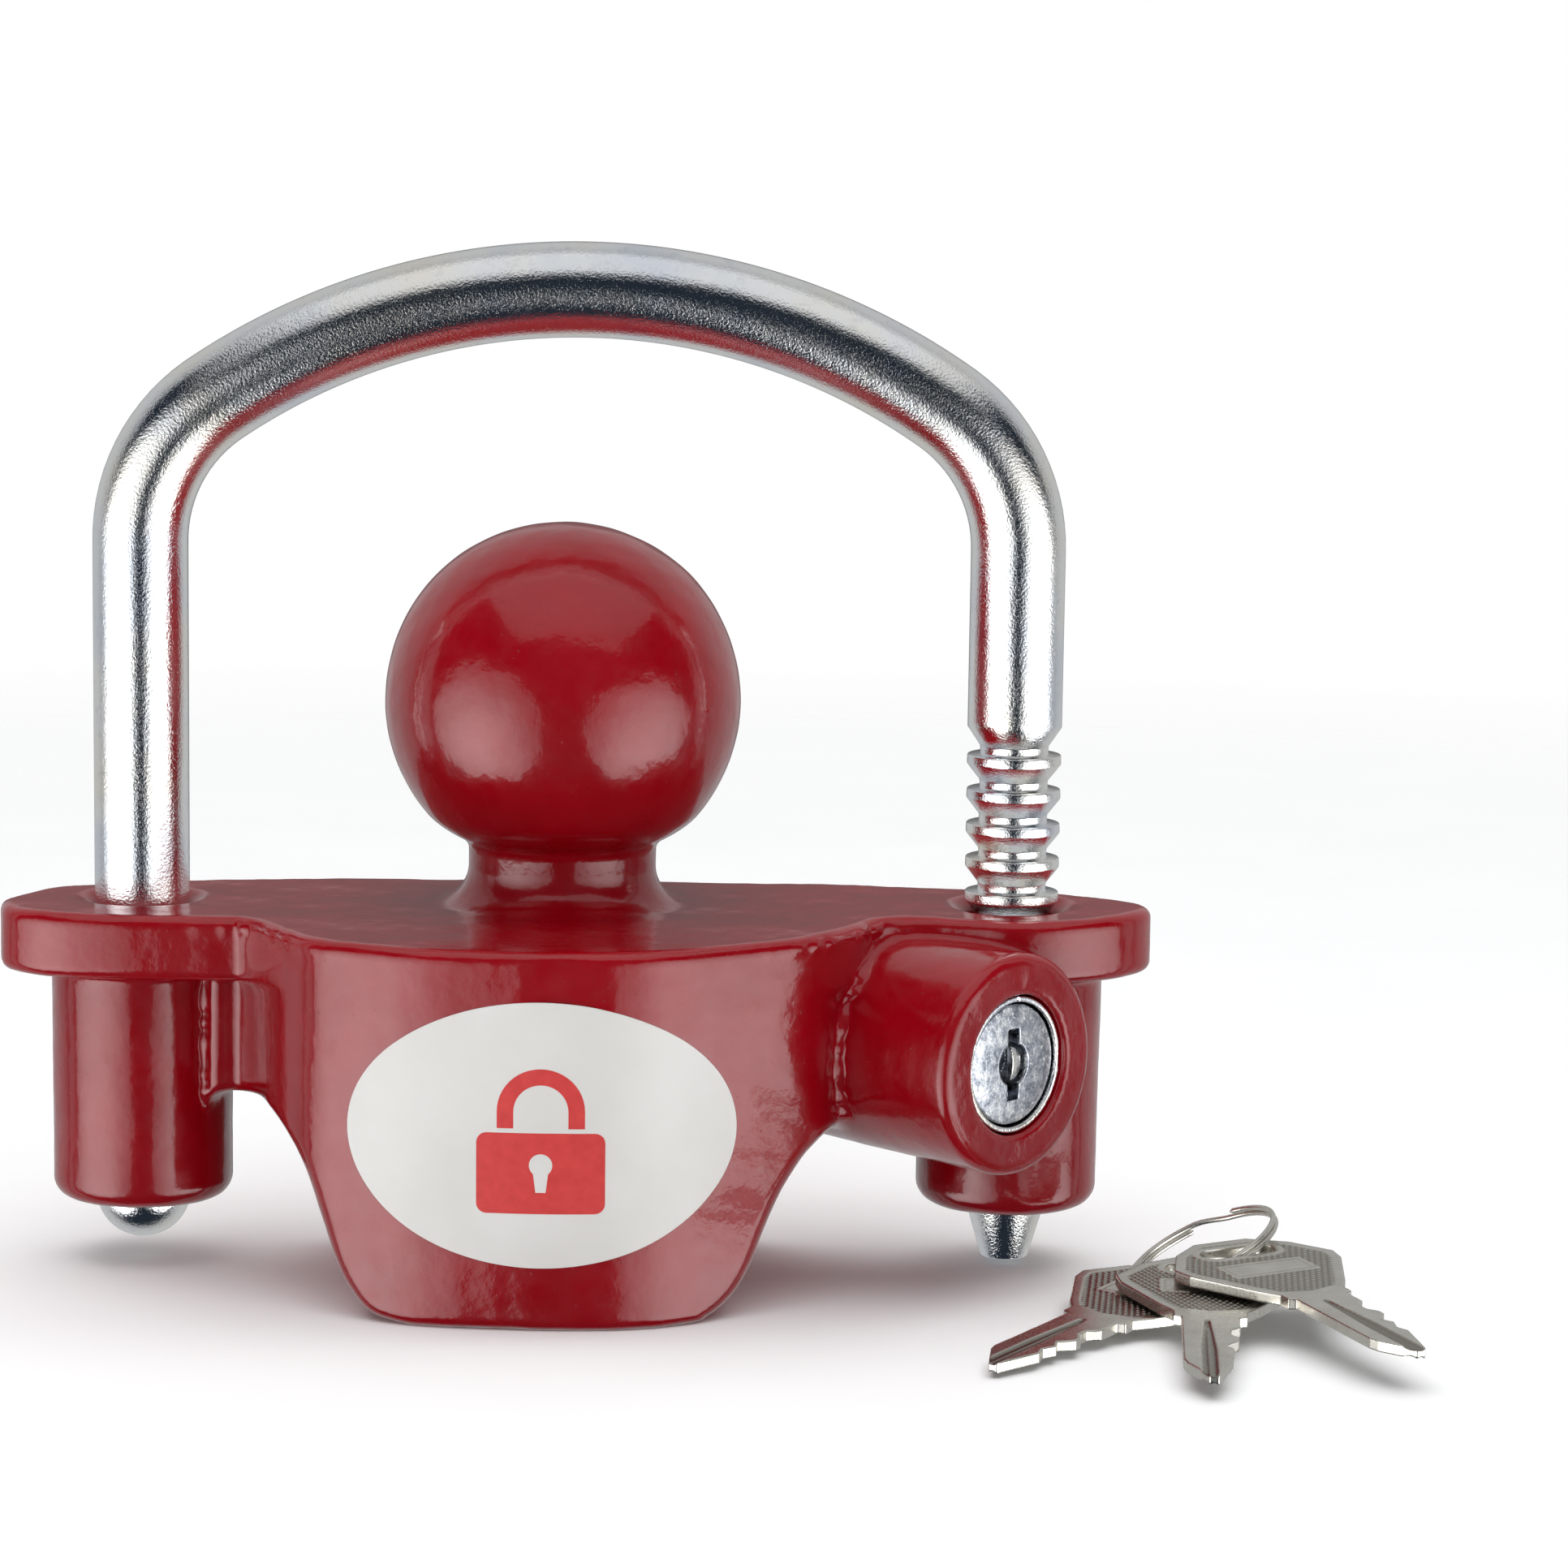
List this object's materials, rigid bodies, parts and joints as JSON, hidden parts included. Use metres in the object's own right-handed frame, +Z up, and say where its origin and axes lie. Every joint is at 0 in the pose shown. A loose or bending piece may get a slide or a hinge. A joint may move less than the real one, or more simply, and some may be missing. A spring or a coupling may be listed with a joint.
{
  "type": "trailer coupler lock",
  "caption": "Coupler lock: red cast body with a ball for the empty socket, a zinc U shackle with a ratchet leg, a keyed lock boss and keys on a ring.",
  "frame": {"origin": "centre of the ball that fills the coupler's socket", "axes": "+Z up along the shackle legs and the ball's neck, +X along the plate towards the ratchet leg, -Y out of the labelled front"},
  "size_m": [0.1832, 0.0945, 0.1379],
  "materials": {
    "red_paint": "gloss sprayed enamel over a cast surface",
    "bright_zinc": "bright zinc plate",
    "plain_steel": "machined, lightly oiled",
    "wafer_brass": "stamped",
    "warm_nickel": "satin nickel plate",
    "white_foil": "pearl white vinyl with a plain red mark"
  },
  "bodies": {
    "lock_body": {"body_casting": "red_paint", "front_label": "white_foil", "lock_barrel": "bright_zinc", "barrel_retaining_pin": "plain_steel", "rear_bush": "wafer_brass", "latch_spring": "plain_steel"},
    "shackle": {"shackle": "bright_zinc"},
    "plug": {"plug": "bright_zinc", "retaining_clip": "plain_steel", "wafer_1": "wafer_brass", "wafer_2": "wafer_brass", "wafer_3": "wafer_brass", "wafer_4": "wafer_brass"},
    "shutter": {"dust_shutter": "bright_zinc"},
    "bolt": {"latch_bolt": "plain_steel"},
    "key_set": {"key_ring": "warm_nickel"},
    "key_1": {"key_1": "warm_nickel"},
    "key_2": {"key_2": "warm_nickel"},
    "key_3": {"key_3": "warm_nickel"}
  },
  "joints": [
    {"name": "shackle_slide", "type": "slide", "parent": "lock_body", "child": "shackle", "axis": [0, 0, 1], "range_m": [-0.02325, 0.06045]},
    {"name": "plug_turn", "type": "hinge", "parent": "lock_body", "child": "plug", "pos_m": [0.0605, -0.025, -0.04445], "axis": [0.7071, -0.7071, 0], "range_deg": [-90, 0]},
    {"name": "bolt_slide", "type": "slide", "parent": "lock_body", "child": "bolt", "axis": [0.7071, 0.7071, 0], "range_m": [-0.0021, 0], "deforming": ["latch_spring"]},
    {"name": "shutter_flap", "type": "hinge", "parent": "plug", "child": "shutter", "pos_m": [0.06043, -0.0226, -0.04445], "axis": [0, 0, -1], "range_deg": [0, 65], "stiffness_Nm_per_rad": 0.000002, "springref_deg": -11.46},
    {"name": "key_set_lift", "type": "slide", "parent": "lock_body", "child": "key_set", "axis": [0, 0, 1], "range_m": [0, 0.08]},
    {"name": "key_1_swing", "type": "hinge", "parent": "key_set", "child": "key_1", "pos_m": [0.08181, -0.02536, -0.07353], "axis": [0, -0.0523, 0.9986], "range_deg": [-8, 8]},
    {"name": "key_2_swing", "type": "hinge", "parent": "key_set", "child": "key_2", "pos_m": [0.08555, -0.02666, -0.07169], "axis": [0, -0.0523, 0.9986], "range_deg": [-8, 8]},
    {"name": "key_3_swing", "type": "hinge", "parent": "key_set", "child": "key_3", "pos_m": [0.08965, -0.02588, -0.06955], "axis": [0, -0.0523, 0.9986], "range_deg": [-8, 8]}
  ],
  "couplings": [
    {"joint": "bolt_slide", "follows": "plug_turn", "m_per_rad": 0.0012096}
  ]
}
